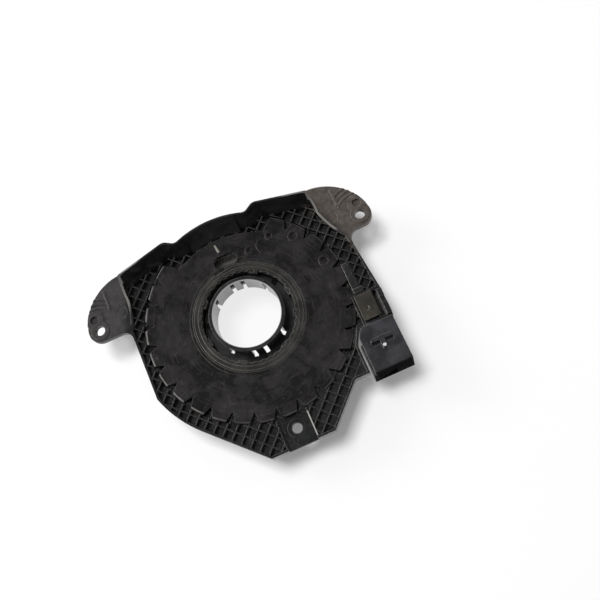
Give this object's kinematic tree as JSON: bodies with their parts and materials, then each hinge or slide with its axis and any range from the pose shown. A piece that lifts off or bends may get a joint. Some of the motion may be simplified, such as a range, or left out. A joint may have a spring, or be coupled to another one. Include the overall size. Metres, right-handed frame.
{
  "type": "steering clock spring",
  "caption": "Steering clock spring: a ribbed black housing with screw ears and a harness plug carries a petalled cover and a turning hub round the shaft bore.",
  "frame": {"origin": "on the steering axis, in the plane of the drum skirt's lower edge that the unit rests on", "axes": "+Z along the steering axis from the wheel side to the column side, +X across the two ears towards the plug's side, +Y towards the ears and the hood"},
  "size_m": [0.1636, 0.1264, 0.041],
  "materials": {
    "housing_black": "dark semi-gloss moulded plastic, dusty",
    "cover_black": "dark semi-gloss moulded plastic, dusty",
    "collar_grey": "dark grey moulded plastic",
    "rotor_black": "dark moulded plastic",
    "plug_grey": "dark grey moulded plastic",
    "terminal_brown": "brownish grey moulded plastic",
    "strip_black": "dark moulded plastic",
    "socket_plastic": "dark moulded plastic",
    "slide_film": "slippery white film",
    "holder_plastic": "pale moulded plastic",
    "ribbon_film": "dark film over copper tracks",
    "contact_metal": "plated contact metal",
    "screw_steel": "black coated steel"
  },
  "bodies": {
    "stator": {"base_housing": "housing_black", "cassette_cover": "cover_black", "upper_slide_ring": "slide_film", "outer_ribbon_holder": "holder_plastic", "ribbon_cable": "ribbon_film", "outer_lead": "ribbon_film", "strip_cover": "strip_black", "terminal_cover": "terminal_brown", "plug_housing": "plug_grey", "plug_pins": "contact_metal"},
    "rotor": {"rotor_hub": "rotor_black", "bore_sleeve": "rotor_black", "rotor_screws": "screw_steel", "lock_collar": "collar_grey", "lower_slide_ring": "slide_film", "inner_ribbon_holder": "holder_plastic", "inner_lead": "ribbon_film", "airbag_socket": "socket_plastic", "airbag_pins": "contact_metal", "switch_socket": "socket_plastic", "switch_pins": "contact_metal"}
  },
  "joints": [
    {"name": "steering_turn", "type": "hinge", "parent": "stator", "child": "rotor", "pos_m": [0, 0, 0], "axis": [0, 0, 1], "range_deg": [-900, 900]}
  ]
}
